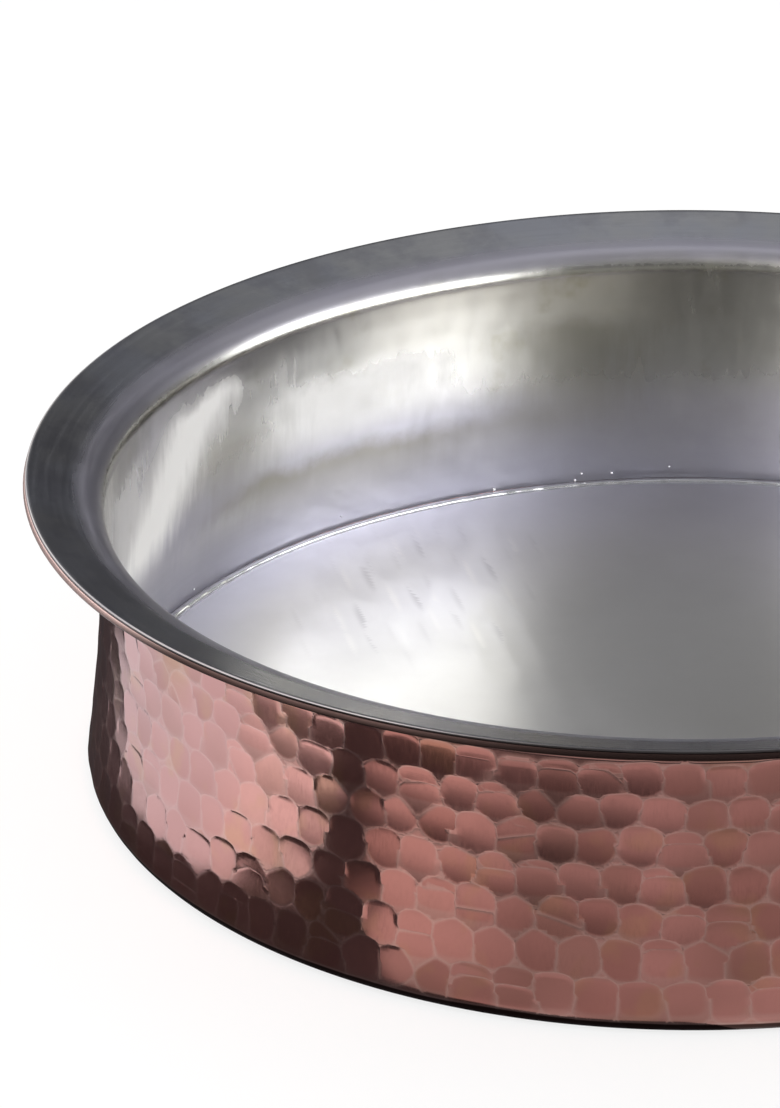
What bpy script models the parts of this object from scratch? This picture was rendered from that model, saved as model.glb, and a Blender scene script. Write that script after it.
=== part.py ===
"""Hammered copper cooking pot: a wide, low vessel with a sloping rim flange, tinned inside.

The side sheet is turned in at the bottom as a ledge that carries a separate floor plate, which
is brazed from below and sealed with tin in the corner inside. Metres, +Z up, origin at the
centre of the face that the pot stands on.
"""
import math

import bmesh
import bpy

# Overall form, measured on the copper's inner and upper face
NECK_RADIUS = 0.1503
HEIGHT = 0.0814
RIM_WIDTH = 0.0197
RIM_SLOPE = math.radians(18)
THROAT_BEND = 0.0062
WALL_LEAN = math.radians(9)

# Foot of the wall: how far its outer face stands out past the neck's, its corner and its ledge
BELLY_SWELL = 0.00525
CORNER_RADIUS = 0.0034
LEDGE_WIDTH = 0.0120

# How far the wall stays straight below the neck and above the corner
NECK_RUN = 0.0200
FLARE_RUN = 0.0340

# Sheets, linings and the clearance between touching pieces
SHEET = 0.0016
FLOOR_SHEET = 0.0016
TIN = 0.0005
GAP = 0.0003

# Hammer marks: shallow dishes in staggered rows, each with a rounded upper edge
MARK_ROWS = 7
MARKS_ROUND = 96
MARK_DEPTH = 0.0003
MARK_CROWN = 0.0009
MARK_MARGIN = 0.0012

# Metal run into the joints
CORNER_TIN_HEIGHT = 0.0028
CORNER_TIN_WIDTH = 0.0028
BRAZE_HEIGHT = 0.0014
BRAZE_WIDTH = 0.0026

# Faces round the axis of the plain pieces and along each curve of a profile
ROUND_STEPS = 72
THROAT_STEPS = 4
WALL_STEPS = 5
FINE_STEPS = 48
CORNER_STEPS = 3
COVE_STEPS = 3
SHARP_ANGLE = math.radians(40)
MERGE_DISTANCE = 0.00001


def arc(centre, radius, start, end, steps):
    """Points on a round stretch of a profile, both ends included."""
    points = []
    for i in range(steps + 1):
        angle = start + (end - start) * i / steps
        points.append((centre[0] + radius * math.cos(angle), centre[1] + radius * math.sin(angle)))
    return points


def bezier(p0, p1, p2, p3, steps):
    """Points on a cubic curve, without its two ends."""
    points = []
    for i in range(1, steps):
        t = i / steps
        weights = ((1 - t) ** 3, 3 * t * (1 - t) ** 2, 3 * t * t * (1 - t), t ** 3)
        points.append(tuple(sum(w * p[k] for w, p in zip(weights, (p0, p1, p2, p3))) for k in (0, 1)))
    return points


def corner_centre():
    """Centre of the round corner at the foot of the wall."""
    return NECK_RADIUS + SHEET + BELLY_SWELL - CORNER_RADIUS, CORNER_RADIUS


def flange_line(depth):
    """Rim flange and throat bend, from the rim's edge inwards, on the face `depth` above the copper."""
    slope_normal = (-math.sin(RIM_SLOPE), math.cos(RIM_SLOPE))
    rim_radius = NECK_RADIUS + RIM_WIDTH
    tip = (rim_radius + depth * slope_normal[0], HEIGHT + depth * slope_normal[1])
    bend = THROAT_BEND + depth
    centre_r = NECK_RADIUS + THROAT_BEND
    fall = (rim_radius - centre_r) * math.tan(RIM_SLOPE)
    centre_z = HEIGHT - fall - THROAT_BEND / math.cos(RIM_SLOPE)
    turn = arc((centre_r, centre_z), bend, math.pi / 2 + RIM_SLOPE, math.pi, THROAT_STEPS)
    return [tip] + turn


def wall_line(depth, steps=WALL_STEPS):
    """The wall from the throat down to where its corner begins, on the face `depth` inside the copper."""
    top = flange_line(depth)[-1]
    centre = corner_centre()
    bend = CORNER_RADIUS - SHEET - depth
    foot = arc(centre, bend, WALL_LEAN, 0, 1)[0]
    ease_top = (top[0], top[1] - NECK_RUN)
    ease_foot = (foot[0] - FLARE_RUN * math.sin(WALL_LEAN), foot[1] + FLARE_RUN * math.cos(WALL_LEAN))
    return bezier(top, ease_top, ease_foot, foot, steps) + [foot]


def corner_line(depth):
    """The round corner and the ledge under the floor plate, on the face `depth` inside the copper."""
    centre = corner_centre()
    turn = arc(centre, CORNER_RADIUS - SHEET - depth, WALL_LEAN, -math.pi / 2, CORNER_STEPS)[1:]
    ledge_end = (centre[0] - LEDGE_WIDTH, turn[-1][1])
    return turn + [ledge_end]


def at_height(line, height):
    """Radius of a falling line of points at a height."""
    for (r0, z0), (r1, z1) in zip(line, line[1:]):
        if z1 <= height <= z0:
            return r0 + (r1 - r0) * (z0 - height) / (z0 - z1)
    return line[-1][0]


def cut_at(line, height):
    """The part of a falling line above a height, ended there."""
    kept = [p for p in line if p[1] > height]
    return kept + [(at_height(line, height), height)]


def plain_wall_section():
    """Section of the side sheet without its hammered face: foot, ledge, inside, rim and neck."""
    foot = wall_line(-SHEET)[-1:] + corner_line(-SHEET)
    inner = flange_line(0) + wall_line(0) + corner_line(0)
    return foot + inner[::-1] + flange_line(-SHEET)


def hammered_line():
    """The outer face of the wall, finely divided, from the neck to where the corner begins."""
    return flange_line(-SHEET)[-1:] + wall_line(-SHEET, FINE_STEPS)


def hammered_band():
    """The wall's hammered outer face as an open ring of dished marks, laid like bricks."""
    line = hammered_line()
    top = line[0][1] - MARK_MARGIN
    pitch = (top - line[-1][1] - MARK_MARGIN) / MARK_ROWS
    heights = [top - pitch * row for row in range(MARK_ROWS + 1)]
    band = bmesh.new()
    verts = [band.verts.new((at_height(line, z), 0, z)) for z in heights]
    edges = [band.edges.new(pair) for pair in zip(verts, verts[1:])]
    columns = 2 * MARKS_ROUND
    bmesh.ops.spin(band, geom=verts + edges, axis=(0, 0, 1), angle=2 * math.pi, steps=columns,
                   use_merge=True)

    def column(x, y):
        return round(math.atan2(y, x) / (2 * math.pi) * columns) % columns

    inner_joints = []
    for edge in band.edges:
        upper, lower = sorted(edge.verts, key=lambda v: -v.co.z)
        if upper.co.z - lower.co.z > pitch / 2:
            row = round((top - upper.co.z) / pitch)
            if (column(upper.co.x, upper.co.y) + row) % 2 == 0:
                inner_joints.append(edge)
    bmesh.ops.dissolve_edges(band, edges=inner_joints, use_verts=False)
    for vert in band.verts:
        row = round((top - vert.co.z) / pitch)
        if 0 < row < MARK_ROWS:
            crown = MARK_CROWN if (column(vert.co.x, vert.co.y) + row) % 2 == 0 else -MARK_CROWN
            z = vert.co.z + crown
            spread = at_height(line, z) / math.hypot(vert.co.x, vert.co.y)
            vert.co = (vert.co.x * spread, vert.co.y * spread, z)
    bmesh.ops.recalc_face_normals(band, faces=band.faces)
    first = band.faces[:][0]
    first.normal_update()
    if first.normal.dot(first.calc_center_median()) < 0:
        bmesh.ops.reverse_faces(band, faces=band.faces)
    for edge in band.edges:
        edge.smooth = False
    bmesh.ops.poke(band, faces=band.faces[:], offset=-MARK_DEPTH, center_mode="MEAN")
    return band


def join_band(piece, band):
    """Bakes a turned piece and closes it with the hammered band, bridging neck and foot."""
    bpy.context.view_layer.update()
    graph = bpy.context.evaluated_depsgraph_get()
    baked = bpy.data.meshes.new_from_object(piece.evaluated_get(graph))
    piece.modifiers.clear()
    band_mesh = bpy.data.meshes.new("hammered_band")
    band.to_mesh(band_mesh)
    band.free()
    whole = bmesh.new()
    whole.from_mesh(baked)
    whole.from_mesh(band_mesh)
    middle = sum(z for r, z in hammered_line()) / (FINE_STEPS + 1)
    open_edges = [edge for edge in whole.edges if edge.is_boundary]
    for above in (True, False):
        pair = [edge for edge in open_edges if (edge.verts[0].co.z > middle) == above]
        bmesh.ops.bridge_loops(whole, edges=pair)
    bmesh.ops.triangulate(whole, faces=whole.faces)
    bmesh.ops.recalc_face_normals(whole, faces=whole.faces)
    for face in whole.faces:
        face.smooth = True
    for edge in whole.edges:
        if edge.calc_face_angle() > SHARP_ANGLE:
            edge.smooth = False
    whole.to_mesh(piece.data)
    whole.free()
    bpy.data.meshes.remove(baked)
    bpy.data.meshes.remove(band_mesh)


def corner_tin_top():
    """Height where the wall's tin gives way to the tin pooled in the corner."""
    return floor_top() + GAP + TIN + CORNER_TIN_HEIGHT


def floor_top():
    """Upper face of the copper floor plate."""
    return SHEET + GAP + FLOOR_SHEET


def wall_lining_section():
    """Closed section of the tin on the wall and rim."""
    foot = corner_tin_top() + GAP
    back = cut_at(flange_line(GAP) + wall_line(GAP), foot)
    face = cut_at(flange_line(GAP + TIN) + wall_line(GAP + TIN), foot)
    return back + face[::-1]


def corner_tin_section():
    """Closed section of the tin in the corner: flat against wall and floor, hollow on its open side."""
    top = corner_tin_top()
    base = floor_top() + GAP
    back = wall_line(GAP)
    face = wall_line(GAP + TIN)
    top_face = (at_height(face, top), top)
    toe = (top_face[0] - CORNER_TIN_WIDTH, base + TIN)
    cove = []
    for i in range(1, COVE_STEPS):
        angle = math.pi / 2 * i / COVE_STEPS
        r = toe[0] + CORNER_TIN_WIDTH * math.sin(angle)
        z = top - CORNER_TIN_HEIGHT * math.cos(angle)
        cove.append((r, z))
    outer = [(at_height(back, top), top), (at_height(back, base), base)]
    return outer + [(toe[0], base), toe] + cove + [top_face]


def floor_lining_radius():
    """Edge of the tin on the floor, a clearance short of the toe of the corner's tin."""
    toe = corner_tin_section()[2]
    return toe[0] - GAP


def braze_section():
    """Closed section of the braze run in the step below the floor plate, hollow on its open side."""
    root_r = corner_centre()[0] - LEDGE_WIDTH - GAP
    root_z = SHEET
    cove = []
    for i in range(COVE_STEPS + 1):
        angle = math.pi / 2 * i / COVE_STEPS
        r = root_r - BRAZE_WIDTH * (1 - math.sin(angle))
        z = root_z - BRAZE_HEIGHT * (1 - math.cos(angle))
        cove.append((r, z))
    return [(root_r, root_z)] + cove[::-1]


def plate_section(radius, bottom, thickness):
    """Open half section of a flat round plate, from its centre above to its centre below."""
    top = bottom + thickness
    return [(0, top), (radius, top), (radius, bottom), (0, bottom)]


def turn(name, section, closed, colour, roughness, steps=ROUND_STEPS):
    """A turned piece: its section as edges, spun by a Screw modifier and shaded smooth."""
    mesh = bpy.data.meshes.new(name)
    sheet = bmesh.new()
    verts = [sheet.verts.new((r, 0, z)) for r, z in section]
    for a, b in zip(verts, verts[1:]):
        sheet.edges.new((a, b))
    if closed:
        sheet.edges.new((verts[-1], verts[0]))
    sheet.to_mesh(mesh)
    sheet.free()
    piece = bpy.data.objects.new(name, mesh)
    pot.objects.link(piece)
    screw = piece.modifiers.new("turned", "SCREW")
    screw.steps = steps
    screw.render_steps = steps
    screw.use_merge_vertices = True
    screw.merge_threshold = MERGE_DISTANCE
    screw.use_smooth_shade = True
    piece.data.materials.append(metal(name + "_metal", colour, roughness))
    return piece


def metal(name, colour, roughness):
    """A plain metal with the colour and gloss of one piece."""
    made = bpy.data.materials.new(name)
    made.use_nodes = True
    shader = made.node_tree.nodes["Principled BSDF"]
    shader.inputs["Base Color"].default_value = (*colour, 1)
    shader.inputs["Metallic"].default_value = 1
    shader.inputs["Roughness"].default_value = roughness
    return made


for old in list(bpy.data.objects):
    bpy.data.objects.remove(old, do_unlink=True)
pot = bpy.data.collections.new("copper_cooking_pot")
bpy.context.scene.collection.children.link(pot)

copper = (0.50, 0.17, 0.11)
tin_grey = (0.42, 0.42, 0.43)
brass_yellow = (0.55, 0.36, 0.14)

wall = turn("wall", plain_wall_section(), False, copper, 0.28, MARKS_ROUND)
join_band(wall, hammered_band())
turn("base_disc", plate_section(corner_centre()[0], SHEET + GAP, FLOOR_SHEET), False, copper, 0.35)
turn("braze_ring", braze_section(), True, brass_yellow, 0.40)
turn("wall_lining", wall_lining_section(), True, tin_grey, 0.30)
turn("floor_lining", plate_section(floor_lining_radius(), floor_top() + GAP, TIN), False, tin_grey, 0.30)
turn("corner_tin", corner_tin_section(), True, tin_grey, 0.25)
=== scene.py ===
import math

import bmesh
import bpy
import numpy as np
from mathutils import Matrix, Vector


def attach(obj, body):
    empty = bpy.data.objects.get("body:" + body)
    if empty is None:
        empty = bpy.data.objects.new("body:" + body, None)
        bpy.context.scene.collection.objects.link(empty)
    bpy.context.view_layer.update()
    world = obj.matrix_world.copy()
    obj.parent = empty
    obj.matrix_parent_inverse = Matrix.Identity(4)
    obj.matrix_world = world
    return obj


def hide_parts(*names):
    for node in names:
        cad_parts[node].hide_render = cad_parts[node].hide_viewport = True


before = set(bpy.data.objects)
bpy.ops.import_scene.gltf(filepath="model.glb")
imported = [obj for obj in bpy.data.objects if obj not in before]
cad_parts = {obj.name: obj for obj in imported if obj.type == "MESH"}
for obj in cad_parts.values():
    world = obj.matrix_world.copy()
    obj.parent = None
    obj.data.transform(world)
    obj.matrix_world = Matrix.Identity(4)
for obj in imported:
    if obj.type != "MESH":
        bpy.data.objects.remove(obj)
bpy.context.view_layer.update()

millimetre = 0.001
turn = 2 * math.pi
degreesPerRadian = math.degrees(1)
scene = bpy.context.scene
scene.view_settings.view_transform = "Standard"
print("frame loaded:", len(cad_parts), "CAD nodes")


# Camera: fitted to the rim's circle, the throat, the floor's joint and the foot of the wall.
cameraView = {
    "lens": 170.58,
    "sensor": 36.0,
    "near": 0.05,
    "place": (0.0, -1.23625, 0.6285),
    "pitch": 24.9536,
    "yaw": -3.5556,
    "roll": -1.3040,
}


def placeCamera(v):
    pitch, yaw, roll = (math.radians(v[k]) for k in ("pitch", "yaw", "roll"))
    ahead = Vector((math.sin(yaw) * math.cos(pitch), math.cos(yaw) * math.cos(pitch), -math.sin(pitch)))
    level = Vector((math.cos(yaw), -math.sin(yaw), 0))
    above = level.cross(ahead)
    right = level * math.cos(roll) + above * math.sin(roll)
    up = above * math.cos(roll) - level * math.sin(roll)
    data = bpy.data.cameras.new("camera")
    data.lens = v["lens"]
    data.sensor_width = v["sensor"]
    data.clip_start = v["near"]
    camera = bpy.data.objects.new("camera", data)
    scene.collection.objects.link(camera)
    turned = Matrix((right, up, -ahead)).transposed()
    camera.matrix_world = Matrix.Translation(v["place"]) @ turned.to_4x4()
    scene.camera = camera


placeCamera(cameraView)


def bothWays(operation):  # an operator and its reflected form
    return (lambda self, other: self.math(operation, self, other),
            lambda self, other: self.math(operation, other, self))


# Shader maths as plain expressions: an operator on a Signal adds its Math node.
class Signal:
    __add__, __radd__ = bothWays("ADD")
    __sub__, __rsub__ = bothWays("SUBTRACT")
    __mul__, __rmul__ = bothWays("MULTIPLY")
    __truediv__, __rtruediv__ = bothWays("DIVIDE")
    __pow__, __rpow__ = bothWays("POWER")

    def __init__(self, look, socket):
        self.look = look
        self.socket = socket

    def math(self, operation, a, b=None, clamp=False):
        sockets = {0: a} if b is None else {0: a, 1: b}
        return self.look.node("ShaderNodeMath", {"operation": operation, "use_clamp": clamp}, sockets)

    def __neg__(self):
        return self.math("MULTIPLY", self, -1)

    def __abs__(self):
        return self.math("ABSOLUTE", self)

    def clamp(self):
        return self.math("ADD", self, 0, clamp=True)

    def wrap(self):  # brings degrees into the range from 0 to 360
        return self.math("FLOORED_MODULO", self, 360.0)

    def rise(self, low, high):  # 0 below low, 1 above high, smooth between
        return self.look.node(
            "ShaderNodeMapRange",
            {"interpolation_type": "SMOOTHSTEP"},
            {"Value": self, "From Min": low, "From Max": high},
        )


# One material being made: its nodes, and the Principled shader that they feed.
class Look:
    def __init__(self, name):
        self.material = bpy.data.materials.new(name)
        self.material.use_nodes = True
        self.tree = self.material.node_tree
        self.shader = self.tree.nodes["Principled BSDF"]

    def node(self, kind, settings, sockets, out=0):
        made = self.tree.nodes.new(kind)
        for key, value in settings.items():
            setattr(made, key, value)
        for key, value in sockets.items():
            self.feed(made.inputs[key], value)
        return Signal(self, made.outputs[out])

    def feed(self, socket, value):
        if isinstance(value, Signal):
            self.tree.links.new(value.socket, socket)
        elif isinstance(value, tuple) and socket.type == "RGBA":
            socket.default_value = (*value, 1)
        else:
            socket.default_value = value

    def set(self, **sockets):
        for key, value in sockets.items():
            self.feed(self.shader.inputs[key.replace("_", " ")], value)

    def place(self):
        return self.node("ShaderNodeTexCoord", {}, {}, "Object")

    def split(self, vector):
        made = self.node("ShaderNodeSeparateXYZ", {}, {0: vector}).socket.node
        return [Signal(self, out) for out in made.outputs]

    def join(self, x, y, z):
        return self.node("ShaderNodeCombineXYZ", {}, {0: x, 1: y, 2: z})

    def attribute(self, name):
        return self.node("ShaderNodeAttribute", {"attribute_name": name}, {}, "Fac")

    def noise(self, vector, scale, detail, rough=0.6):
        sockets = {"Vector": vector, "Scale": scale, "Detail": detail, "Roughness": rough}
        return self.node("ShaderNodeTexNoise", {}, sockets)

    def stretch(self, vector, factors):
        return self.node("ShaderNodeVectorMath", {"operation": "MULTIPLY"}, {0: vector, 1: factors})

    def tint(self, amount, a, b):  # a Mix node's colours are its sockets 6 and 7, and come out at 2
        return self.node("ShaderNodeMix", {"data_type": "RGBA"}, {0: amount, 6: a, 7: b}, 2)

    def bump(self, height):  # height in mm
        return self.node("ShaderNodeBump", {}, {"Height": height, "Distance": millimetre, "Strength": 1.0})

    # The pot's own directions: the angle round it, the distance from its axis, and the height.
    def round(self, vector):
        x, y, z = self.split(vector)
        return x.math("ARCTAN2", y, x), (x * x + y * y) ** 0.5, z


def meshObject(name, bm, material):
    mesh = bpy.data.meshes.new(name)
    bm.to_mesh(mesh)
    bm.free()
    mesh.materials.append(material)
    made = bpy.data.objects.new(name, mesh)
    scene.collection.objects.link(made)
    return made


def makePiece(name, bm, material, node):
    piece = meshObject(name, bm, material)
    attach(piece, "root")
    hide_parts(node)
    return piece


# Sizes shared with the CAD part, in metres.
potSize = {
    "neckRadius": 0.1503,
    "height": 0.0814,
    "rimWidth": 0.0197,
    "rimSlope": math.radians(18),
    "throatBend": 0.0062,
    "wallLean": math.radians(9),
    "bellySwell": 0.00525,
    "cornerRadius": 0.0034,
    "ledgeWidth": 0.0120,
    "neckRun": 0.0200,
    "flareRun": 0.0340,
    "sheet": 0.0016,
    "tin": 0.0005,
    "gap": 0.0003,
}
p = potSize
cornerCentre = (p["neckRadius"] + p["sheet"] + p["bellySwell"] - p["cornerRadius"], p["cornerRadius"])
tinFace = p["gap"] + p["tin"]  # how far the tin's face stands inside the copper
tinBack = 0.00004  # and its back, which touches the copper nowhere
tinSteps = 44  # steps down the wall of everything made of tin


def arcPoints(centre, radius, start, end, steps):
    angles = [start + (end - start) * i / steps for i in range(steps + 1)]
    return [(centre[0] + radius * math.cos(a), centre[1] + radius * math.sin(a)) for a in angles]


def bezierLine(a, b, c, d, steps):
    line = []
    for i in range(steps + 1):
        t = i / steps
        point = a * (1 - t) ** 3 + b * (3 * t * (1 - t) ** 2) + c * (3 * t * t * (1 - t)) + d * t ** 3
        line.append(tuple(point))
    return line


# A section's lines lie at a depth inside the copper's inner face, or outside it where that is negative.
def flangeLine(depth, steps=10):  # from the rim's edge inwards and down the throat
    slope = p["rimSlope"]
    rimRadius = p["neckRadius"] + p["rimWidth"]
    tip = (rimRadius - depth * math.sin(slope), p["height"] + depth * math.cos(slope))
    centreR = p["neckRadius"] + p["throatBend"]
    fall = (rimRadius - centreR) * math.tan(slope)
    centreZ = p["height"] - fall - p["throatBend"] / math.cos(slope)
    bend = arcPoints((centreR, centreZ), p["throatBend"] + depth, math.pi / 2 + slope, math.pi, steps)
    return [tip] + bend


def wallLine(depth, steps):  # from the throat down to the corner at the foot
    top = flangeLine(depth)[-1]
    bend = p["cornerRadius"] - p["sheet"] - depth
    lean = p["wallLean"]
    foot = (cornerCentre[0] + bend * math.cos(lean), cornerCentre[1] + bend * math.sin(lean))
    easeTop = Vector((top[0], top[1] - p["neckRun"]))
    easeFoot = Vector((foot[0] - p["flareRun"] * math.sin(lean), foot[1] + p["flareRun"] * math.cos(lean)))
    return bezierLine(Vector(top), easeTop, easeFoot, Vector(foot), steps)[1:]


def radiusAt(line, height):  # of a falling line
    points = np.array(line)
    return float(np.interp(-height, -points[:, 1], points[:, 0]))


def toMetres(line):
    return [(r * millimetre, z * millimetre) for r, z in line]


def cutUp(a, b, steps):  # even points from a up to, but without, b
    return [tuple(Vector(a).lerp(Vector(b), i / steps)) for i in range(steps)]


columnsPerSector = 20
weld = 0.000001  # m, points closer than this become one
weldAxis = 0.0000005  # and the same where a line ends on the axis


def spinLine(bm, line, steps, closed=False):  # one sector is spun, and then repeated round the axis
    sectors = steps // columnsPerSector
    old = set(bm.verts)
    verts = [bm.verts.new((r, 0, z)) for r, z in line]
    pairs = list(zip(verts, verts[1:])) + ([(verts[-1], verts[0])] if closed else [])
    edges = [bm.edges.new(pair) for pair in pairs]
    axis = (0, 0, 1)
    bmesh.ops.spin(bm, geom=verts + edges, axis=axis, angle=turn / sectors, steps=steps // sectors)
    sector = [v for v in bm.verts if v not in old]
    faces = list({f for v in sector for f in v.link_faces})
    bmesh.ops.spin(bm, geom=faces, axis=axis, angle=turn * (sectors - 1) / sectors, steps=sectors - 1,
                   use_duplicate=True)
    made = [v for v in bm.verts if v not in old]
    bmesh.ops.remove_doubles(bm, verts=made, dist=weld)


def roundRimEdge(bm, within, size):  # rounds the level edges so near the rim's tip
    tip = p["neckRadius"] + p["rimWidth"] - within
    level = [e for e in bm.edges if abs(e.verts[0].co.z - e.verts[1].co.z) < 1e-6]
    edges = [e for e in level if e.verts[0].co.xy.length > tip]
    bmesh.ops.bevel(bm, geom=edges, offset=size, segments=3, profile=0.5, affect="EDGES", material=-1)


# Hammered copper side: every strike of the planishing hammer is a shallow dish with a crisp upper lip.
strikes = {
    "rowTops": (69.0, 60.6, 52.2, 42.6, 33.0, 23.8, 13.6, 4.6),  # mm above the base
    "round": 96,
    "girth": 153.0,  # mm, usual radius of the hammered band
    "bite": 0.16,  # mm, depth at the middle of a dish
    "uneven": 0.18,  # how much the depths differ
    "acrossRadius": 140.0,  # mm, how round the hammer's face is, across and down the wall
    "headRadius": 100.0,
    "tailRadius": 190.0,
    "lean": 0.010,  # a strike bites deeper at its upper edge
    "lip": 0.28,  # slope of the lip over a strike
    "roundness": 3.6,
    "wander": (0.38, 0.32),  # mm, how far a strike misses its place, round and down
    "tilt": 0.006,
    "spread": 0.05,
    "roll": 0.06,
    "furthest": 1.8,  # nothing strays by more than this many times its usual amount
    "second": 0.22,  # share of strikes that were hit again, a little off the first
    "secondShift": (0.1, 0.6),  # how far down, and how tall, as a share of the first
    "secondTall": (0.6, 0.8),
    "secondBite": 0.03,
    "secondSteady": 0.35,  # it turns and strays this much less
    "seed": 11,
}
sideMesh = {
    "columns": 864,  # round the hammered band, and round all the rest
    "plainColumns": 240,
    "rows": 70,
    "bandEnd": -math.radians(50),  # how far round the corner at the foot the band goes
    "halvings": 10,  # steps of the search for the ridge along an edge of the net
    "keepOff": 0.1,  # a cut stays this share of the edge away from its ends
    "probe": 0.02,  # mm, step over which a slope is read
    "ridgeReach": 3,  # mm, distances to a ridge are kept up to this
    "rimBevel": 0.00035,
}
rimWander = {
    "waves": ((3, 0.4, 0.9), (5, 2.1, 0.6), (8, 4.0, 0.35), (13, 1.3, 0.2)),  # times round, phase and size
    "whole": 4.1,  # all sizes together, twice
    "most": 0.22,  # mm, inwards and down
    "from": 158,  # mm from the axis, and how far out it takes to grow
    "over": 12,
}
farOff = 9.0  # mm, a surface that is never the lowest


def evenLine(line, steps):  # the same line with even steps along it
    points = np.array(line)
    run = np.concatenate([[0], np.cumsum(np.linalg.norm(np.diff(points, axis=0), axis=1))])
    even = np.linspace(0, run[-1], steps + 1)
    return even, np.stack([np.interp(even, run, points[:, 0]), np.interp(even, run, points[:, 1])], axis=1)


def layStrikes(k, down, line):  # the second half of the rows holds the second blows
    rng = np.random.default_rng(k["seed"])
    edges = np.interp(-np.array(k["rowTops"]) * millimetre, -line[:, 1], down) / millimetre
    rows = len(edges) - 1
    shape = (2 * rows, k["round"])

    def stray(amount):
        return rng.normal(0, 1, shape).clip(-k["furthest"], k["furthest"]) * amount

    again = np.arange(2 * rows)[:, None] >= rows
    middle = np.tile(((edges[:-1] + edges[1:]) / 2)[:, None], (2, 1))
    half = np.tile((np.diff(edges) / 2)[:, None], (2, 1))
    columns = np.arange(k["round"])[None, :] + 0.5 * (np.arange(2 * rows) % rows % 2)[:, None]
    width = turn * k["girth"] / k["round"] / 2
    missed = again & (rng.random(shape) > k["second"])
    steady = np.where(again, k["secondSteady"], 1)
    shift = np.where(again, rng.uniform(*k["secondShift"], shape) * half, 0)
    shorter = np.where(again, rng.uniform(*k["secondTall"], shape), 1)
    bite = k["bite"] * (1 + stray(k["uneven"])) + np.where(again, k["secondBite"], 0)
    return {
        "edges": edges,
        "down": middle + shift + stray(k["wander"][1]),
        "angle": columns * turn / k["round"] + stray(k["wander"][0] / k["girth"]) * steady,
        "halfWide": width * (1 + stray(k["spread"])),
        "halfTall": half * shorter * (1 + stray(k["spread"])),
        "bite": np.where(missed, -farOff, bite),
        "tiltAcross": stray(k["tilt"]) * steady,
        "tiltDown": k["lean"] + stray(k["tilt"]),
        "roll": stray(k["roll"]) * steady,
        "tone": rng.random(shape),
    }


def strikePlace(row, column, down, angle, radius):  # where a point lies on a strike, in mm
    off = (angle - marks["angle"][row, column] + math.pi) % turn - math.pi
    across = off * radius
    up = marks["down"][row, column] - down
    roll = marks["roll"][row, column]
    return across + roll * up, up - roll * across


def strikeDepth(owner, down, angle, radius):
    k = strikes
    row, column = np.divmod(np.maximum(owner, 0), k["round"])
    across, up = strikePlace(row, column, down, angle, radius)
    wide = marks["halfWide"][row, column]
    tall = marks["halfTall"][row, column]
    power = k["roundness"]
    reach = (np.abs(across / wide) ** power + np.abs(up / tall) ** power) ** (1 / power)
    lip = np.where(up > 0, np.maximum(reach - 1, 0) * tall * k["lip"], 0)
    upRadius = np.where(up > 0, k["headRadius"], k["tailRadius"])
    bowl = across ** 2 / (2 * k["acrossRadius"]) + up ** 2 / (2 * upRadius)
    tilt = marks["tiltAcross"][row, column] * across - marks["tiltDown"][row, column] * up
    return np.where(owner < 0, 0, -marks["bite"][row, column] + bowl + tilt + lip)


def strikeField(down, angle, radius):  # lowest surface, how much lower than the next, and whose it is
    rows, count = len(marks["edges"]) - 1, strikes["round"]
    best = np.zeros(len(down))
    second = np.full(len(down), farOff)
    owner = np.full(len(down), -1)
    near = np.searchsorted(marks["edges"], down) - 1
    for rowStep in (-1, 0, 1):
        row = np.clip(near + rowStep, 0, rows - 1)
        real = row == near + rowStep
        first = np.rint(angle / turn * count - 0.5 * (row % 2)).astype(int)
        for columnStep in (-1, 0, 1):
            for blow in (0, rows):
                one = (row + blow) * count + (first + columnStep) % count
                depth = np.where(real, strikeDepth(one, down, angle, radius), farOff)
                lower = depth < best
                second = np.where(lower, best, np.minimum(second, depth))
                owner = np.where(lower, one, owner)
                best = np.where(lower, depth, best)
    return best, second - best, owner


def ridgeDistance(down, angle, radius):  # mm to the nearest ridge between two strikes
    probe = sideMesh["probe"]
    _, gap, _ = strikeField(down, angle, radius)
    _, gapRound, _ = strikeField(down, angle + probe / radius, radius)
    _, gapDown, _ = strikeField(down + probe, angle, radius)
    steep = np.hypot((gapRound - gap) / probe, (gapDown - gap) / probe)
    return np.clip(gap / np.maximum(steep, 0.01), 0, sideMesh["ridgeReach"])


def splitAtRidges(bm, inBand):  # every edge of the net that crosses a ridge is cut there
    bm.verts.index_update()
    down, angle, radius = onBand(np.array([v.co for v in bm.verts]))
    _, _, owner = strikeField(down, angle, radius)
    edges = [e for e in bm.edges if e.verts[0][inBand] and e.verts[1][inBand]]
    a, b = np.array([[v.index for v in e.verts] for e in edges]).T
    cut = owner[a] != owner[b]
    a, b = a[cut], b[cut]
    edges = [e for e, crossed in zip(edges, cut) if crossed]
    turnBy = (angle[b] - angle[a] + math.pi) % turn - math.pi
    low, high = np.zeros(len(a)), np.ones(len(a))
    for _ in range(sideMesh["halvings"]):
        t = (low + high) / 2
        here = (down[a] + t * (down[b] - down[a]), angle[a] + t * turnBy, radius[a] + t * (radius[b] - radius[a]))
        ownsA = strikeDepth(owner[a], *here) < strikeDepth(owner[b], *here)
        low, high = np.where(ownsA, t, low), np.where(ownsA, high, t)
    share = np.clip((low + high) / 2, sideMesh["keepOff"], 1 - sideMesh["keepOff"])
    bmesh.ops.subdivide_edges(bm, edges=edges, cuts=1, edge_percents=dict(zip(edges, share.tolist())),
                              quad_corner_type="STRAIGHT_CUT", use_grid_fill=True)


def wanderedRim(angle, radius, height):  # the hand-turned rim strays inwards and down a little, in mm
    w = rimWander
    total = sum(size * (1 + np.sin(n * angle + phase)) for n, phase, size in w["waves"]) / w["whole"]
    reach = np.clip((radius - w["from"]) / w["over"], 0, 1)
    return radius - reach * total * w["most"], height - reach * total * w["most"]


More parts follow.
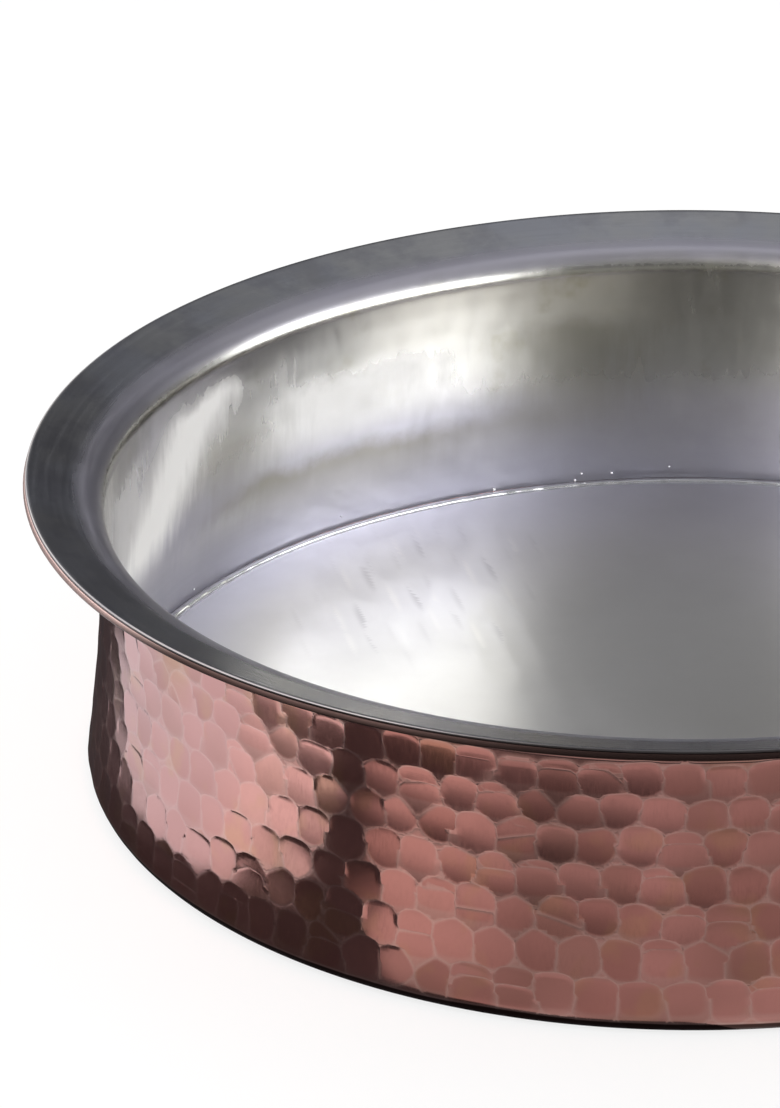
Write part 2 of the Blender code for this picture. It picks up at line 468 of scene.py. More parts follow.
def copperBand():  # the hammered face's section, and each point's distance down it in mm
    sheet = p["sheet"]
    band = flangeLine(-sheet)[-1:] + wallLine(-sheet, 200)
    band += arcPoints(cornerCentre, p["cornerRadius"], p["wallLean"], sideMesh["bandEnd"], 12)[1:]
    down, line = evenLine(band, sideMesh["rows"])
    return down / millimetre, line


bandDown, bandLine = copperBand()
marks = layStrikes(strikes, bandDown * millimetre, bandLine)


def roundAxis(points):  # angle, radius and height of points
    return np.arctan2(points[:, 1], points[:, 0]) % turn, np.hypot(points[:, 0], points[:, 1]), points[:, 2]


def toPoints(angle, radius, height):
    return np.stack([radius * np.cos(angle), radius * np.sin(angle), height], axis=1)


def onBand(points):  # mm down the hammered face, angle, and radius in mm
    angle, radius, height = roundAxis(points)
    return np.interp(-height, -bandLine[:, 1], bandDown), angle, radius / millimetre


def copperSide():
    sheet = p["sheet"]
    ledge = cornerCentre[0] - p["ledgeWidth"]
    rest = arcPoints(cornerCentre, p["cornerRadius"], sideMesh["bandEnd"], -math.pi / 2, 4) + [(ledge, 0)]
    corner = arcPoints(cornerCentre, p["cornerRadius"] - sheet, p["wallLean"], -math.pi / 2, 3)
    inner = flangeLine(0, 6) + wallLine(0, 8) + corner[1:] + [(ledge, sheet)]
    under = flangeLine(-sheet, 8)
    rest += inner[::-1] + cutUp(under[0], under[1], 6) + under[1:]
    bm = bmesh.new()
    inBand = bm.verts.layers.int.new("inBand")
    spinLine(bm, [tuple(q) for q in bandLine], sideMesh["columns"])
    for v in bm.verts:
        v[inBand] = 1
    spinLine(bm, rest, sideMesh["plainColumns"])
    loose = [e for e in bm.edges if e.is_boundary]
    halfway = p["height"] / 2
    for above in (True, False):
        bmesh.ops.bridge_loops(bm, edges=[e for e in loose if (e.verts[0].co.z > halfway) == above])
    roundRimEdge(bm, 0.0002, sideMesh["rimBevel"])
    bmesh.ops.recalc_face_normals(bm, faces=bm.faces)
    splitAtRidges(bm, inBand)
    print("copper side spun:", len(bm.faces), "faces")

    place = np.array([v.co for v in bm.verts])
    band = np.array([v[inBand] for v in bm.verts], bool)
    down, angle, radius = onBand(place[band])
    depth, _, _ = strikeField(down, angle, radius)
    depth *= np.clip((bandDown[-1] - down) / 2, 0, 1) * np.clip(down, 0, 1) * millimetre  # none at the band's ends
    along = np.gradient(bandLine, bandDown, axis=0) / millimetre
    newR = np.interp(down, bandDown, bandLine[:, 0]) - np.interp(down, bandDown, along[:, 1]) * depth
    newZ = np.interp(down, bandDown, bandLine[:, 1]) + np.interp(down, bandDown, along[:, 0]) * depth
    place[band] = toPoints(angle, newR, newZ)
    angle, radius, height = roundAxis(place / millimetre)
    for v, co in zip(bm.verts, toPoints(angle, *wanderedRim(angle, radius, height)) * millimetre):
        v.co = co
    for f in bm.faces:
        f.smooth = True
    return bm


def table(items, name, kind, size=1):
    values = np.empty(len(items) * size, kind)
    items.foreach_get(name, values)
    return values.reshape(-1, size) if size > 1 else values


def store(mesh, name, domain, values, kind="FLOAT"):
    mesh.attributes.new(name, kind, domain).data.foreach_set("value", values)


def paintStrikes(mesh):  # each face knows its own strike, so ridges and tones stay crisp
    count = len(mesh.polygons)
    centre = table(mesh.polygons, "center", float, 3)
    corners = table(mesh.loops, "vertex_index", int)
    place = table(mesh.vertices, "co", float, 3)
    inBand = table(mesh.attributes["inBand"].data, "value", int)
    face = np.repeat(np.arange(count), table(mesh.polygons, "loop_total", int))
    struckFace = np.bincount(face, inBand[corners] == 0, count) == 0
    _, _, owner = strikeField(*onBand(centre))
    owner[~struckFace] = -1
    own = owner[face]
    row, column = np.divmod(np.maximum(own, 0), strikes["round"])
    across, up = strikePlace(row, column, *onBand(place[corners]))
    uv = np.stack([across / marks["halfWide"][row, column], up / marks["halfTall"][row, column]], axis=1)
    uv[own < 0] = 0
    mesh.uv_layers.new(name="strike").data.foreach_set("uv", uv.ravel())
    store(mesh, "tone", "CORNER", np.where(own < 0, 0.5, marks["tone"][row, column]))
    store(mesh, "struck", "CORNER", (own >= 0).astype(float))
    ridge = ridgeDistance(*onBand(place))
    store(mesh, "ridge", "POINT", np.where(inBand > 0, ridge, sideMesh["ridgeReach"]))
    edgeOfLoop = table(mesh.loops, "edge_index", int)
    lowest = np.full(len(mesh.edges), 10 ** 6)  # the strikes beside an edge
    highest = np.full(len(mesh.edges), -10)
    np.minimum.at(lowest, edgeOfLoop, own)
    np.maximum.at(highest, edgeOfLoop, own)
    store(mesh, "sharp_edge", "EDGE", lowest != highest, "BOOLEAN")
    mesh.attributes.remove(mesh.attributes["inBand"])


copperFinish = {
    "rose": (0.80, 0.37, 0.325),
    "deep": (0.66, 0.29, 0.25),
    "orange": (0.76, 0.39, 0.25),
    "brown": (0.52, 0.28, 0.22),
    "land": (0.96, 0.65, 0.58),  # paler copper on the ridges between the strikes, a painted highlight
    "landWidth": 0.95,  # mm
    "ridgeHighlightShown": (0.30, 0.66),  # how much of this painted highlight shows on the left side, and on the rest
    "ridgeHighlightTurn": (224, 244),  # degrees round the pot where that changes
    "streak": (214, 1.0, 4.0),  # an orange stain under the rim: degrees round, and half width where it fades
    "streakHeight": (0.048, 0.066),
    "gloss": 0.13,
    "rimFrom": (0.1535, 0.1580),  # the rim's underside and edge, painted dark as shade: its radius and height
    "rimAbove": (0.068, 0.073),
    "rimEdge": (0.055, 0.034, 0.031),
    "rimEdgeHighlight": (0.36, 0.26, 0.245),
    "rimHighlightEnds": (212, 226),  # degrees over which the painted highlight on the rim's edge ends
    "footStrip": (0.0027, 0.0031),  # painted shade: the turned edge under this height is painted black
    "footLine": 0.0006,  # height of the painted highlight line over it
    "footPaintedShade": (0.03, 0.018, 0.016),
}


def copperLook():
    c = copperFinish
    look = Look("hammered_copper")
    place = look.place()
    tone, ridge, struck = (look.attribute(name) for name in ("tone", "ridge", "struck"))
    across, up, _ = look.split(look.node("ShaderNodeUVMap", {"uv_map": "strike"}, {}))
    angle, radius, height = look.round(place)
    degrees = (angle * degreesPerRadian + 360).wrap()
    cloud = look.noise(place, 28, 3, 0.5)
    drift = look.noise(place, 90, 2, 0.5)
    small = look.noise(place, 600, 3, 0.55)
    fine = look.noise(look.stretch(place, (1, 1, 0.12)), 2600, 2)

    # Every dish has its own shade of copper, which drifts a little inside it. Its upper part is painted pinker and
    # its lower part deeper brown, a painted shading across each dish.
    dish = look.tint((tone * 0.8 - up * 0.16 + cloud * 0.3).rise(0.30, 0.95), c["rose"], c["deep"])
    dish = look.tint((drift + tone * 0.18).rise(0.62, 0.80) * 0.45, dish, c["orange"])
    other = tone.math("FRACT", tone * 7)
    dish = look.tint((cloud * 0.7 + other * 0.35 - up * 0.06).rise(0.58, 0.80) * 0.32, dish, c["brown"])
    middle, narrow, wide = c["streak"]
    streak = (1 - abs(degrees - middle + (drift - 0.5) * 6).rise(narrow, wide)) * height.rise(*c["streakHeight"])
    dish = look.tint(streak * 0.8, dish, c["orange"])

    # Painted highlight: paler lines where two dishes meet, painted fainter on the left side than on the rest.
    power = strikes["roundness"]
    reach = (abs(across) ** power + abs(up) ** power) ** (1 / power)
    flat = 1 - struck + reach.rise(0.80, 1.15) * struck
    land = 1 - (1 - flat * 0.35) * ridge.rise(-0.45, c["landWidth"])
    leftShown, restShown = c["ridgeHighlightShown"]
    shown = leftShown + (restShown - leftShown) * degrees.rise(*c["ridgeHighlightTurn"])

    # The rim's underside and edge, painted near-black as shade from the front-left round to the right and paler
    # elsewhere as a painted highlight, and the strip at the foot, painted black as shade with a painted highlight
    # line over it.
    rimPart = radius.rise(*c["rimFrom"]) * height.rise(*c["rimAbove"])
    # Painted shade at the foot, and a painted highlight line just above it.
    uneven = height + (cloud - 0.5) * 0.0012
    foot = 1 - uneven.rise(*c["footStrip"])
    footTop = c["footStrip"][1]
    footLine = (1 - foot) * (1 - uneven.rise(footTop, footTop + c["footLine"]))
    colour = look.tint((land * shown + footLine * 0.5).clamp(), dish, c["land"])
    # Painted shade on the rim's underside and edge, with a painted highlight from the right round the back to the
    # left.
    colour = look.tint(rimPart, colour, look.tint(degrees.rise(*c["rimHighlightEnds"]), c["rimEdgeHighlight"], c["rimEdge"]))
    colour = look.tint(foot * 0.9, colour, c["footPaintedShade"])
    roughness = c["gloss"] + land * 0.06 + cloud.rise(0.45, 0.75) * 0.05 + fine.rise(0.4, 0.8) * 0.05
    roughness = roughness + rimPart * 0.3
    crestLine = (1 - ridge / 0.9).clamp() ** 2 * -0.014
    look.set(Base_Color=colour, Metallic=1.0, Roughness=roughness,
             Normal=look.bump(crestLine + small * 0.0012 + fine * 0.0006))
    return look.material


copperPiece = makePiece("hammeredCopper", copperSide(), copperLook(), "wall")
paintStrikes(copperPiece.data)
print("copper side hammered:", len(copperPiece.data.polygons), "faces")


# Turned pieces: a spun section, then moved point by point like hand-worked metal.
def turned(line, steps, closed):
    bm = bmesh.new()
    spinLine(bm, line, steps, closed)
    if not closed:
        bmesh.ops.remove_doubles(bm, verts=bm.verts, dist=weldAxis)
    bmesh.ops.recalc_face_normals(bm, faces=bm.faces)
    return bm


def work(bm, move):  # move takes angle, radius and height in mm, and gives back the radius and height
    angle, radius, height = roundAxis(np.array([v.co for v in bm.verts]) / millimetre)
    for v, co in zip(bm.verts, toPoints(angle, *move(angle, radius, height)) * millimetre):
        v.co = co


def smooth(bm, sharpAngle=math.radians(40)):
    for f in bm.faces:
        f.smooth = True
    for e in bm.edges:
        e.smooth = e.calc_face_angle(0) < sharpAngle


def waves(angle, terms):  # mean of a few sine waves round the pot, each with its count and phase
    return sum(np.sin(n * angle + phase) for n, phase in terms) / len(terms)


tinFinish = {
    "warm": (0.54, 0.53, 0.49),
    "dull": (0.43, 0.42, 0.385),
    "olive": (0.37, 0.36, 0.27),
    "slate": (0.42, 0.43, 0.47),  # on the rim
    "stain": (0.29, 0.29, 0.33),
    # painted shade on the throat's bend: darkened and tinted lilac, which also tints its highlight
    "throat": (0.40, 0.385, 0.45),
    "edge": (0.13, 0.115, 0.115),  # the dark line round the rim's edge
    # painted shade: darker patches on the inner wall
    "shade": (0.225, 0.212, 0.163),
    "paintedHighlightTint": (1.0, 0.985, 0.95),  # painted highlights: white, matt patches standing in for bright reflections on the inner wall
    # degrees round, how far it leans, half width, then its lowest and highest height in mm and the strength
    "shaded": (
        (128, 0.0, 20, -20, 33, 0.95),
        (144, 0.0, 8, 8, 52, 0.4),
        (104, 0.0, 9, 10, 60, 0.45),
        (90, 0.0, 16, -20, 80, 0.35),
        (60, 0.0, 16, -20, 80, 0.25),
    ),
    "paintedHighlightPatches": (
        (157.5, 0.40, 7.5, 16, 68, 1.0),
        (129, 0.10, 12, 30, 57, 0.75),
        (149, 0.0, 9, 12, 28, 0.35),
        (172, 0.0, 8, 16, 66, 0.45),
        (142, 0.0, 9, 42, 68, 0.30),
    ),
    "gloss": 0.17,
}

tinWallSize = {
    "columns": 480,
    "foot": 0.0050,  # m above the base
    "bulge": 0.35,  # how much of each outside strike shows inside
    "blur": 1.2,  # mm over which it is softened
    "sway": 0.10,  # mm, and the waves round the wall: count, height of one wave in mm, phase
    "waves": ((5, 21, 0.3), (9, 15, 2.0), (14, 9, 4.4)),
    "edge": 0.00035,
}


def wallSection(depth, foot):
    line = flangeLine(depth, 12) + wallLine(depth, tinSteps)
    kept = [q for q in line if q[1] > foot + 0.0002]
    return kept + [(radiusAt(line[1:], foot), foot)]


def tinWall():
    s = tinWallSize
    front = wallSection(tinFace, s["foot"])
    back = wallSection(tinBack, s["foot"])[::3] + [(radiusAt(wallLine(tinBack, tinSteps), s["foot"]), s["foot"])]
    bm = turned(cutUp(front[0], front[1], 14) + front[1:] + back[::-1], s["columns"], True)
    roundRimEdge(bm, 0.0003, s["edge"])

    def move(angle, radius, height):
        radius, height = wanderedRim(angle, radius, height)
        down, _, _ = onBand(toPoints(angle, radius, height) * millimetre)
        on = np.clip((72 - height) / 6, 0, 1) * np.clip((height - 7.4) / 3, 0, 1) * (radius < 158)
        girth = np.full(len(angle), strikes["girth"])
        b = s["blur"]
        dent = 0
        for across, up in ((0, 0), (b, 0), (-b, 0), (0, b), (0, -b), (1, 1), (-1, 1), (1, -1), (-1, -1)):
            dent = dent + strikeField(down + up, angle + across / strikes["girth"], girth)[0] / 9
        sway = sum(np.sin(n * angle + height / run + phase) for n, run, phase in s["waves"]) / len(s["waves"])
        return radius + on * (dent * s["bulge"] + sway * s["sway"]), height

    work(bm, move)
    smooth(bm)
    return makePiece("tinWall", bm, tinWallLook(), "wall_lining")


def tinWallLook():
    c = tinFinish
    look = Look("tinned_wall")
    place = look.place()
    angle, radius, height = look.round(place)
    height = height / millimetre
    degrees = (angle * degreesPerRadian + 360).wrap()
    roundGrain = look.noise(look.join(angle * 5, radius * 700, height * 0.5), 1.0, 4)
    upright = look.noise(look.join(angle * 40, radius * 20, height * 0.05), 1.0, 4)
    cloud = look.noise(place, 22, 4)
    spot = look.noise(place, 60, 5)
    onRim = radius.rise(0.1500, 0.1545)
    throat = radius.rise(0.1496, 0.1512) * (1 - radius.rise(0.1545, 0.1600))
    edge = radius.rise(0.1690, 0.1696)
    low = 1 - height.rise(6, 36)
    colour = look.tint(cloud.rise(0.35, 0.75), c["warm"], c["dull"])
    colour = look.tint((spot + low * 0.16).rise(0.56, 0.74) * 0.7, colour, c["olive"])
    colour = look.tint(low * 0.7, colour, c["olive"])
    colour = look.tint(onRim * (0.55 + 0.45 * cloud.rise(0.4, 0.6)), colour, c["slate"])
    colour = look.tint(onRim * spot.rise(0.42, 0.62) * 0.45, colour, c["stain"])
    # Painted shade on the throat's bend, darker and lilac, setting the colour of its highlight.
    colour = look.tint(throat * 0.75, colour, c["throat"])
    colour = look.tint(edge * 0.85, colour, c["edge"])

    def patches(places):  # ragged patches on the wall, blurred at the sides and at the foot
        total = 0
        for azimuth, lean, wide, foot, top, strength in places:
            off = abs(degrees - azimuth + (height - 50) * lean + (upright - 0.5) * 9)
            tall = (height + (cloud - 0.5) * 24).rise(foot, foot + 22)
            tall = tall * (1 - (height + (spot - 0.5) * 12).rise(top - 7, top + 1))
            total = total + (1 - off.rise(wide * 0.15, wide * 1.5)) * tall * strength
        return total.clamp() * (1 - onRim)

    # Painted highlights: white, matt patches, with roughness raised and metal lowered there.
    paintedHighlightPatches = patches(c["paintedHighlightPatches"])
    # Painted shade: darker patches painted into the inner wall's colour.
    colour = look.tint(patches(c["shaded"]), colour, c["shade"])
    colour = look.tint(paintedHighlightPatches, colour, c["paintedHighlightTint"])
    grain = roundGrain * onRim + upright * (1 - onRim)
    roughness = c["gloss"] - onRim * 0.05 + grain.rise(0.3, 0.8) * 0.08 + cloud.rise(0.4, 0.7) * 0.05
    roughness = roughness + paintedHighlightPatches * 0.26 + edge * 0.15 + throat * 0.19
    look.set(Base_Color=colour, Metallic=1 - paintedHighlightPatches * 0.8, Roughness=roughness,
             Normal=look.bump(grain * 0.012 + spot * 0.02))
    return look.material


# Tin in the corner between wall and floor. Sizes in mm.
floorTop = 4.3  # the inner floor's surface
floorUnder = 3.8
cornerSize = {
    "columns": 720,
    "meets": 7.1,  # the floor's tin ends this far in from the wall's radius at this height
    "wide": 2.8,
    "crest": 5.20,
    "crestIn": 1.8,  # from the toe to the crest
    "ripple": 0.12,
    "waves": ((17, 0.5), (43, 2.2), (88, 1.0), (131, 3.0)),  # times round, and phase
    "dents": 0.18,
    "dentsRound": 96,
    # degrees round, height and radius of each bead
    "beads": ((111, 5.7, 0.65), (102, 5.5, 0.4), (101, 4.8, 0.5), (101.3, 7.7, 0.45), (98, 7.2, 0.45),
              (91.8, 8.7, 0.35), (129.5, 8.6, 0.3), (152, 7.5, 0.35), (63, 6.2, 0.5), (24, 5.2, 0.45),
              (318, 5.6, 0.5), (236, 5.0, 0.4), (203, 6.4, 0.5)),
    "pale": (0.82, 0.82, 0.84),
    "dark": (0.62, 0.62, 0.62),
    "cloud": (220, 4, 0.4, 0.8),  # scale, detail, and where the dark colour begins and is full
    "grain": (220, 4, 0.05),  # scale, detail and height
    "gloss": (0.13, 0.12),  # roughness, and how much the cloud adds
}


def radiusOfTin(depth, height):  # in mm, as the height is
    return radiusAt(wallLine(depth, tinSteps), height * millimetre) / millimetre


def cornerToe():  # radius in mm where the corner's tin begins and the floor's ends
    return radiusOfTin(tinFace, cornerSize["meets"]) - cornerSize["wide"]


def cornerTin():
    s = cornerSize
    toe = cornerToe()
    crestR, wallR = toe + s["crestIn"], radiusOfTin(tinFace, 5.0)
    shoulder = floorTop + 0.12
    lift = s["crest"] - shoulder
    crest = [(toe + 0.5, floorTop + 0.06)]
    crest += [(crestR - lift * math.cos(a), shoulder + lift * math.sin(a)) for a in np.linspace(0, 1.57, 8)]
    fall = [(crestR + (wallR - 0.1 - crestR) * t, s["crest"] - 0.25 * t * t) for t in (0.3, 0.55, 0.8, 1)]
    fall.append((wallR + 0.1, 4.93))
    outer = [(radiusOfTin(tinBack, 4.9), 4.93), (radiusOfTin(tinBack, 3.7), 3.6)]
    line = outer + [(toe - 0.2, 3.6), (toe - 0.2, 4.25), (toe, floorTop + 0.03)] + crest + fall
    bm = turned(toMetres(line), s["columns"], True)

    def move(angle, radius, height):
        wave = waves(angle, s["waves"]) * s["ripple"]
        dent = np.maximum(np.sin(s["dentsRound"] * angle + 2 * np.sin(5 * angle)), 0) ** 3
        dent = dent * (1 + np.sin(7 * angle + 1)) / 2 * s["dents"]
        on = np.clip((radius - toe) / 1.2, 0, 1) * np.clip((wallR - radius) / 0.8, 0, 1) * (height > 4.27)
        return radius - on * (wave - dent), height + on * (wave * 0.5 - dent)

    work(bm, move)
    for degrees, height, size in s["beads"]:
        made = bmesh.ops.create_icosphere(bm, subdivisions=2, radius=size * millimetre)["verts"]
        reach = crestR if height < s["crest"] + 0.3 else radiusOfTin(tinFace, height) - 0.1
        a = math.radians(degrees)
        spot = Vector((reach * math.cos(a), reach * math.sin(a), height)) * millimetre
        bmesh.ops.translate(bm, verts=made, vec=spot)
    smooth(bm, math.radians(60))
    return makePiece("cornerTin", bm, cloudyMetal("pooled_tin", s), "corner_tin")


def cloudyMetal(name, k):  # a metal with one cloudy change of colour and gloss
    look = Look(name)
    place = look.place()
    cloudScale, cloudDetail, low, high = k["cloud"]
    grainScale, grainDetail, height = k["grain"]
    gloss, duller = k["gloss"]
    cloud = look.noise(place, cloudScale, cloudDetail)
    grain = look.noise(place, grainScale, grainDetail)
    look.set(Base_Color=look.tint(cloud.rise(low, high), k["pale"], k["dark"]), Metallic=1.0,
             Roughness=gloss + cloud * duller, Normal=look.bump(grain * height))
    return look.material


tinFloorSize = {
    "columns": 720,
    "rings": 130,
    "dent": 0.42,  # mm deep
    "across": 8.2,  # mm from one dent to the next, and along a row
    "along": 25.0,
    "slant": 15,  # degrees by which the rows turn
    "reach": (0.62, 0.66),  # half size of a dent as a share of that
    "miss": 0.16,
    "bites": (0.35, 1.0),  # each dent's own depth, and how clearly the painted shade and highlight on its sides show
    "shown": (0.35, 1.0),
    "repeat": 64,  # dents in a row before they repeat
    "soft": 0.05,
    "marked": (-74, 76, 36, 46),  # middle and half size in mm of the part that shows its dents most
    "faint": 0.12,  # how much of a dent is left elsewhere
    # strength of the painted shade and highlight on the dents' sides
    "dentShadingStrength": 2.3,
    "sway": 0.16,
    "rim": 7.0,  # mm over which the floor turns up at its edge, and by how much
    "lift": 0.22,
    "seed": 5,
}


def rowDents(k, x, y):  # rows of long soft dents in mm, and how far each point lies to the right in its dent, which sets the painted shade and highlight on the dent's sides
    rng = np.random.default_rng(k["seed"])
    size = k["repeat"]
    miss = rng.normal(0, k["miss"], (2, size, size))
    shown = rng.uniform(*k["shown"], (size, size))
    bite = rng.uniform(*k["bites"], (size, size))
    slant = math.radians(k["slant"])
    u = (x * math.cos(slant) + y * math.sin(slant)) / k["across"]
    v = (y * math.cos(slant) - x * math.sin(slant)) / k["along"]
    depth, side = np.zeros(len(x)), np.zeros(len(x))
    total = np.ones(len(x))
    for stepU in (-1, 0, 1):
        i = np.rint(u).astype(int) + stepU
        for stepV in (-1, 0, 1):
            j = np.rint(v - 0.5 * (i % 2)).astype(int) + stepV
            one = (i % size, j % size)
            offU, offV = u - i - miss[(0, *one)], v - j - 0.5 * (i % 2) - miss[(1, *one)]
            away = (offU / k["reach"][0]) ** 2 + (offV / k["reach"][1]) ** 2
            here = -bite[one] * np.maximum(1 - away, 0)
            across, fade = np.clip(offU / 0.5, -1, 1), np.clip(1 - (offV / 0.5) ** 2, 0, 1)
            crest = across * np.abs(across) * (1 - across ** 6)
            side = np.where(here < depth, crest * fade * shown[one], side)
            depth = np.minimum(depth, here)
            total = total + np.exp(-here / k["soft"])
    midX, midY, halfX, halfY = k["marked"]
    marked = np.exp(-(((x - midX) / halfX) ** 4) - ((y - midY) / halfY) ** 4)
    strength = k["faint"] + (1 - k["faint"]) * marked
    return -np.log(total) * k["soft"] * k["dent"] * strength, side * k["dentShadingStrength"] * marked


def tinFloor():
    s = tinFloorSize
    toe = cornerToe()
    top = [(toe * i / s["rings"], floorTop) for i in range(s["rings"] + 1)]
    line = top + [(toe, floorUnder), (toe * 0.5, floorUnder), (0, floorUnder)]
    bm = turned(toMetres(line), s["columns"], False)

    def move(angle, radius, height):  # dented inside, and turned up a little along its edge
        upper = height > floorTop - 0.1
        on = upper * np.clip((toe - radius) / 4, 0, 1)
        lift = upper * np.clip((radius - toe + s["rim"]) / s["rim"], 0, 1) ** 1.3 * s["lift"]
        x, y = radius * np.cos(angle), radius * np.sin(angle)
        sway = np.sin(x / 13 + np.sin(y / 21)) * np.sin(y / 17 + 1) * s["sway"] / 2
        return radius, height + on * (rowDents(s, x, y)[0] - sway) + lift

    work(bm, move)
    smooth(bm)
    piece = makePiece("tinFloor", bm, tinFloorLook(), "floor_lining")
    place = table(piece.data.vertices, "co", float, 3) / millimetre
    # painted shade and highlight on each dent's sides
    store(piece.data, "side", "POINT", rowDents(s, place[:, 0], place[:, 1])[1])
    return piece


tinFloorFinish = {
    # painted light and shade: the floor is painted lighter on the left, darker on the right and lavender towards
    # the back
    "left": (0.97, 0.97, 0.975),
    "right": (0.70, 0.69, 0.67),
    "back": (0.87, 0.88, 0.945),
    "cloud": (0.58, 0.58, 0.58),
    "dentPaintedShade": (0.36, 0.36, 0.40),  # painted shade and painted highlight on the dents' two sides
    "dentPaintedHighlight": (0.98, 0.98, 0.99),
    "gloss": 0.28,
}


def tinFloorLook():
    c = tinFloorFinish
    look = Look("tinned_floor")
    place = look.place()
    x, y, _ = look.split(place)
    side = look.attribute("side")
    cloud = look.noise(place, 18, 4, 0.55)
    fine = look.noise(place, 300, 4)
    # Painted light and shade: lighter to the left, darker to the right, lavender towards the back.
    colour = look.tint(x.rise(-0.10, 0.05), c["left"], c["right"])
    colour = look.tint(y.rise(-0.02, 0.09) * 0.7, colour, c["back"])
    colour = look.tint(cloud.rise(0.3, 0.8) * 0.3, colour, c["cloud"])
    colour = look.tint(side.rise(0.1, 0.95) * 0.36, colour, c["dentPaintedShade"])
    colour = look.tint((-side).rise(0.1, 0.95) * 0.7, colour, c["dentPaintedHighlight"])
    look.set(Base_Color=colour, Metallic=1.0, Roughness=c["gloss"] + cloud * 0.07 + fine * 0.04,
             Normal=look.bump(fine * 0.02 + cloud * 0.15))
    return look.material


# Copper floor plate and its brazing, seen from below. Sizes in mm.
baseSize = {
    "columns": 300,
    "rings": 56,
    "dent": 0.14,
    "pitch": 13.0,  # from one dent to the next
    "stray": (0.14, 0.9),  # how far a dent misses its place, round as a share of the pitch and outwards
    "bites": (0.5, 1.0),
    "reach": 0.62,  # radius of a dent as a share of the pitch
    "edge": 12,  # no dents on the part that lies on the ledge
    "seed": 8,
    "pale": (0.66, 0.30, 0.23),
    "dark": (0.40, 0.19, 0.15),
    "cloud": (14, 5, 0.35, 0.7),
    "grain": (400, 3, 0.02),
    "gloss": (0.3, 0.15),
}


def ringDents(k, angle, radius, maxRadius):  # rings of overlapping dents, in mm
    rng = np.random.default_rng(k["seed"])
    depth = np.zeros(len(angle))
    for ring in range(int(maxRadius / k["pitch"]) + 1):
        r = (ring + 0.5) * k["pitch"]
        count = max(int(turn * r / k["pitch"]), 4)
        places = (np.arange(count) + 0.5 * (ring % 2) + rng.normal(0, k["stray"][0], count)) * turn / count
        radii = r + rng.normal(0, k["stray"][1], count)
        bites = rng.uniform(*k["bites"], count)
        for near in (-1, 0, 1):
            i = (np.rint(angle / turn * count - 0.5 * (ring % 2)).astype(int) + near) % count
            across = ((angle - places[i] + math.pi) % turn - math.pi) * radius
            away = (across ** 2 + (radius - radii[i]) ** 2) / (k["reach"] * k["pitch"]) ** 2
            depth = np.minimum(depth, -bites[i] * np.maximum(1 - away, 0) ** 1.3)
    return depth * k["dent"]


def baseDisc():
    s = baseSize
    edge = cornerCentre[0] / millimetre
    top = p["sheet"] / millimetre * 2 + 0.3
    low = top - p["sheet"] / millimetre
    under = [(edge * i / s["rings"], low) for i in range(s["rings"], -1, -1)]
    bm = turned(toMetres([(0, top), (edge * 0.5, top), (edge, top)] + under), s["columns"], False)

    def move(angle, radius, height):
        on = (height < low + 0.01) * np.clip((edge - s["edge"] - radius) / 4, 0, 1)
        return radius, height - on * ringDents(s, angle, radius, edge)

    work(bm, move)
    smooth(bm)
    return makePiece("baseDisc", bm, cloudyMetal("copper_base", s), "base_disc")


brazeSize = {
    "columns": 480,
    "high": 1.4,
    "wide": 2.6,
    "ripple": 0.12,
    "waves": ((60, 0.5), (97, 2.0), (151, 4.0)),  # times round, and phase
    "pale": (0.70, 0.52, 0.26),
    "dark": (0.42, 0.27, 0.15),
    "cloud": (120, 4, 0.35, 0.7),
    "grain": (120, 4, 0.08),
    "gloss": (0.35, 0.2),
}


def brazeRing():
    s = brazeSize
    root = (cornerCentre[0] - p["ledgeWidth"]) / millimetre - 0.02
    high = p["sheet"] / millimetre + 0.28
    line = [(root, high)]
    for i in range(8, -1, -1):
        a = math.pi / 2 * i / 8
        line.append((root - s["wide"] * (1 - math.sin(a)), high - 0.3 - s["high"] * (1 - math.cos(a))))
    bm = turned(toMetres(line), s["columns"], True)

    def move(angle, radius, height):
        wave = waves(angle, s["waves"])
        on = (radius < root - 0.1) * (height < high - 0.1)
        return radius + on * wave * s["ripple"], height + on * np.abs(wave) * s["ripple"]

    work(bm, move)
    smooth(bm, math.radians(60))
    return makePiece("brazeRing", bm, cloudyMetal("braze_metal", s), "braze_ring")


for piece in (tinWall(), tinFloor(), cornerTin(), baseDisc(), brazeRing()):
    print("made", piece.name, len(piece.data.polygons), "faces")


# Studio: a pale floor, pale sheets beside the pot and a lit tent over it. Only reflections see the last two.
def stageMesh(name, bm, look):
    card = meshObject(name, bm, look.material)
    return card


def onlyReflected(card):
    card.visible_camera = False
    card.visible_diffuse = False
    card.visible_shadow = False


def flatCard(name, outline, height, look):  # outline in mm
    bm = bmesh.new()
    corners = [bm.verts.new((x * millimetre, y * millimetre, height)) for x, y in outline]
    bmesh.ops.contextual_create(bm, geom=corners)
    return stageMesh(name, bm, look)


def glowing(name):
    look = Look(name)
    look.set(Base_Color=(0, 0, 0), Roughness=1.0, Specular_IOR_Level=0.0, Emission_Strength=1.0)
    return look


